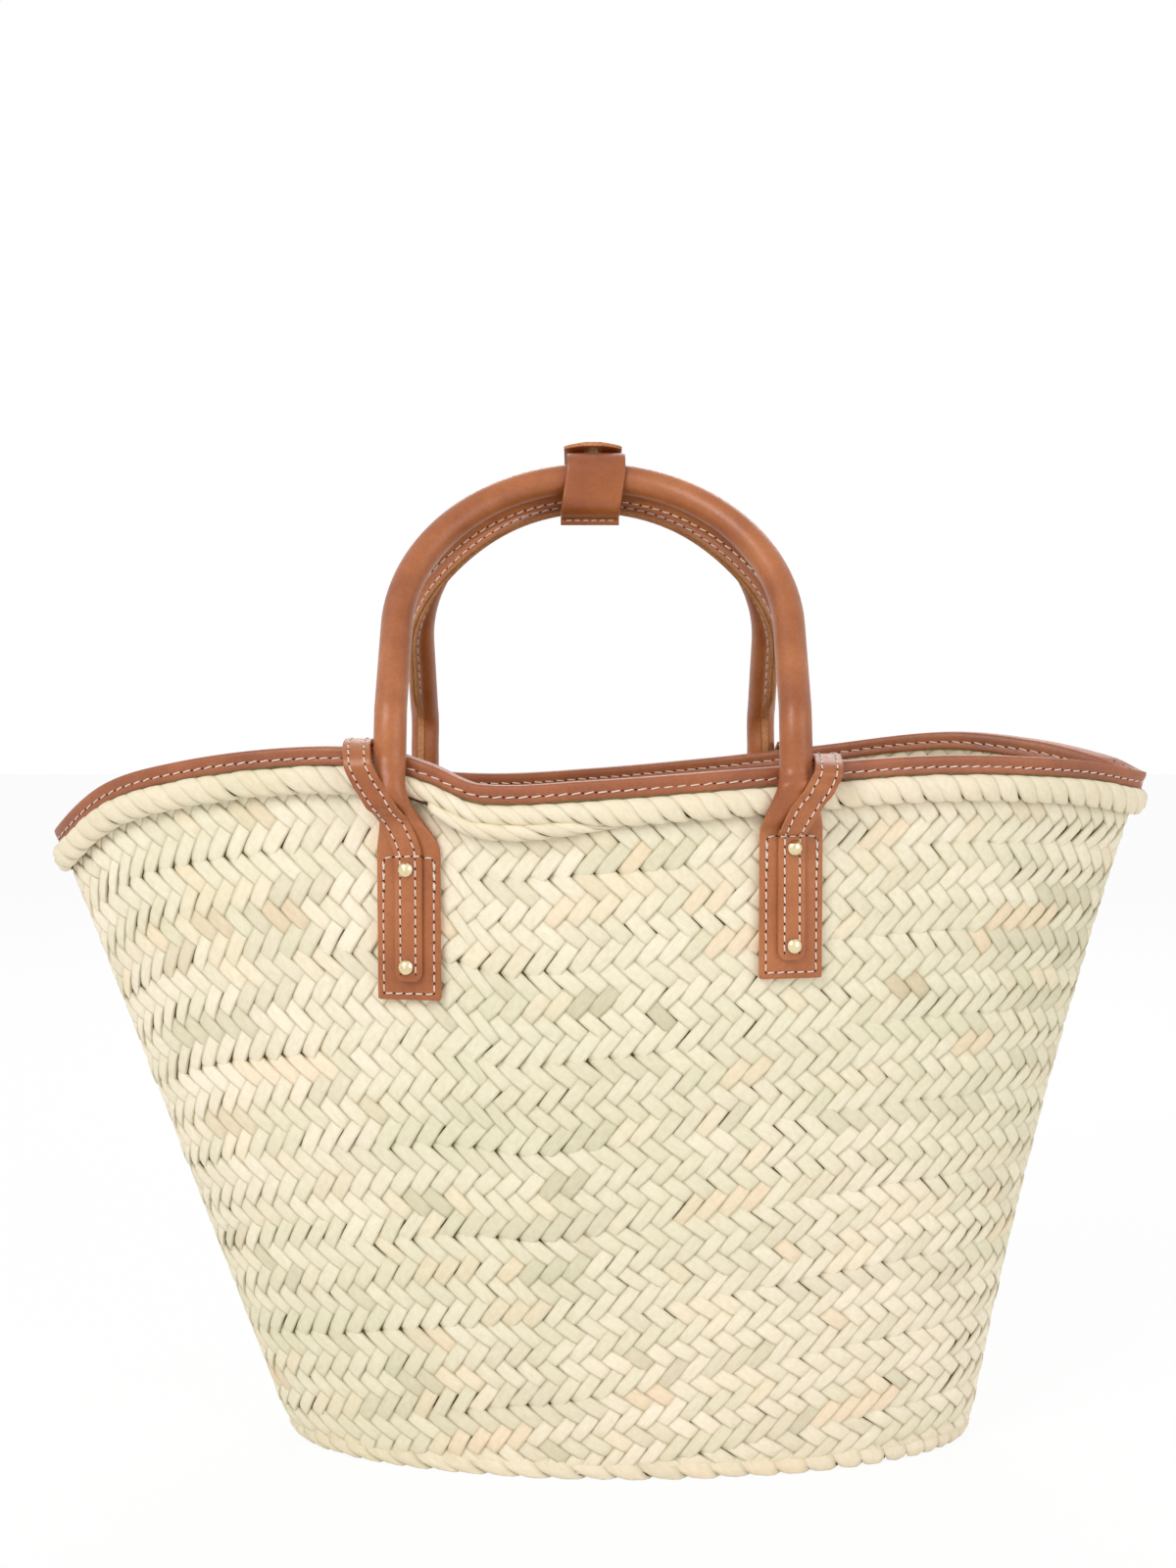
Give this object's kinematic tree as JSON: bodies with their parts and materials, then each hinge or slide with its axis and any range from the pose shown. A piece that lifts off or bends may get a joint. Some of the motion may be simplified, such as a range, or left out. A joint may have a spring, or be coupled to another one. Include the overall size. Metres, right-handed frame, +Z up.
{
  "type": "woven market basket",
  "caption": "Flared plaited straw market basket with a leather-bound oval mouth, two rolled leather handles that fold outwards and a snap keeper round both.",
  "frame": {"origin": "middle of the bounding box on the floor, under the basket", "axes": "+X along the mouth to the right as seen from the front, -Y to the front, +Z up"},
  "size_m": [0.5317, 0.2069, 0.4766],
  "materials": {
    "plaited_straw": "matt dried palm strip, cream with greenish and pinkish strips",
    "tan_leather": "smooth tan leather with paler raw edges and off-white thread",
    "rope_core": "twisted fibre rope, hidden",
    "gold_hardware": "pale gold plated, polished"
  },
  "bodies": {
    "basket": {"woven_wall": "plaited_straw", "woven_base": "plaited_straw", "rim_binding": "tan_leather", "rim_roll": "plaited_straw", "rim_roll_tail": "plaited_straw", "front_left_end": "tan_leather", "front_right_end": "tan_leather", "back_left_end": "tan_leather", "back_right_end": "tan_leather", "front_left_strap": "tan_leather", "front_right_strap": "tan_leather", "back_left_strap": "tan_leather", "back_right_strap": "tan_leather", "front_left_rivets": "gold_hardware", "front_right_rivets": "gold_hardware", "back_left_rivets": "gold_hardware", "back_right_rivets": "gold_hardware", "front_left_caps": "gold_hardware", "front_right_caps": "gold_hardware", "back_left_caps": "gold_hardware", "back_right_caps": "gold_hardware"},
    "front_handle": {"front_cover": "tan_leather", "front_core": "rope_core"},
    "back_handle": {"back_cover": "tan_leather", "back_core": "rope_core"},
    "keeper": {"keeper_front": "tan_leather", "keeper_back": "tan_leather", "snap_stud": "gold_hardware", "snap_eyelet": "gold_hardware"},
    "tongue": {"keeper_tongue": "tan_leather", "snap_socket": "gold_hardware", "snap_cap": "gold_hardware"}
  },
  "joints": [
    {"name": "front_handle_fold", "type": "hinge", "parent": "basket", "child": "front_handle", "pos_m": [-0.0036, -0.0906, 0.343], "axis": [1, 0, 0], "range_deg": [0, 120], "deforming": ["keeper_front", "keeper_back"]},
    {"name": "back_handle_fold", "type": "hinge", "parent": "basket", "child": "back_handle", "pos_m": [-0.0036, 0.0906, 0.343], "axis": [-1, 0, 0], "range_deg": [0, 120], "deforming": ["keeper_front", "keeper_back"]},
    {"name": "keeper_slide", "type": "hinge", "parent": "back_handle", "child": "keeper", "pos_m": [-0.0036, 0, 0.351], "axis": [0, 1, 0], "range_deg": [-6, 6]},
    {"name": "tongue_snap", "type": "hinge", "parent": "keeper", "child": "tongue", "pos_m": [-0.0036, 0.0184, 0.46], "axis": [-1, 0, 0], "range_deg": [0, 150]}
  ]
}
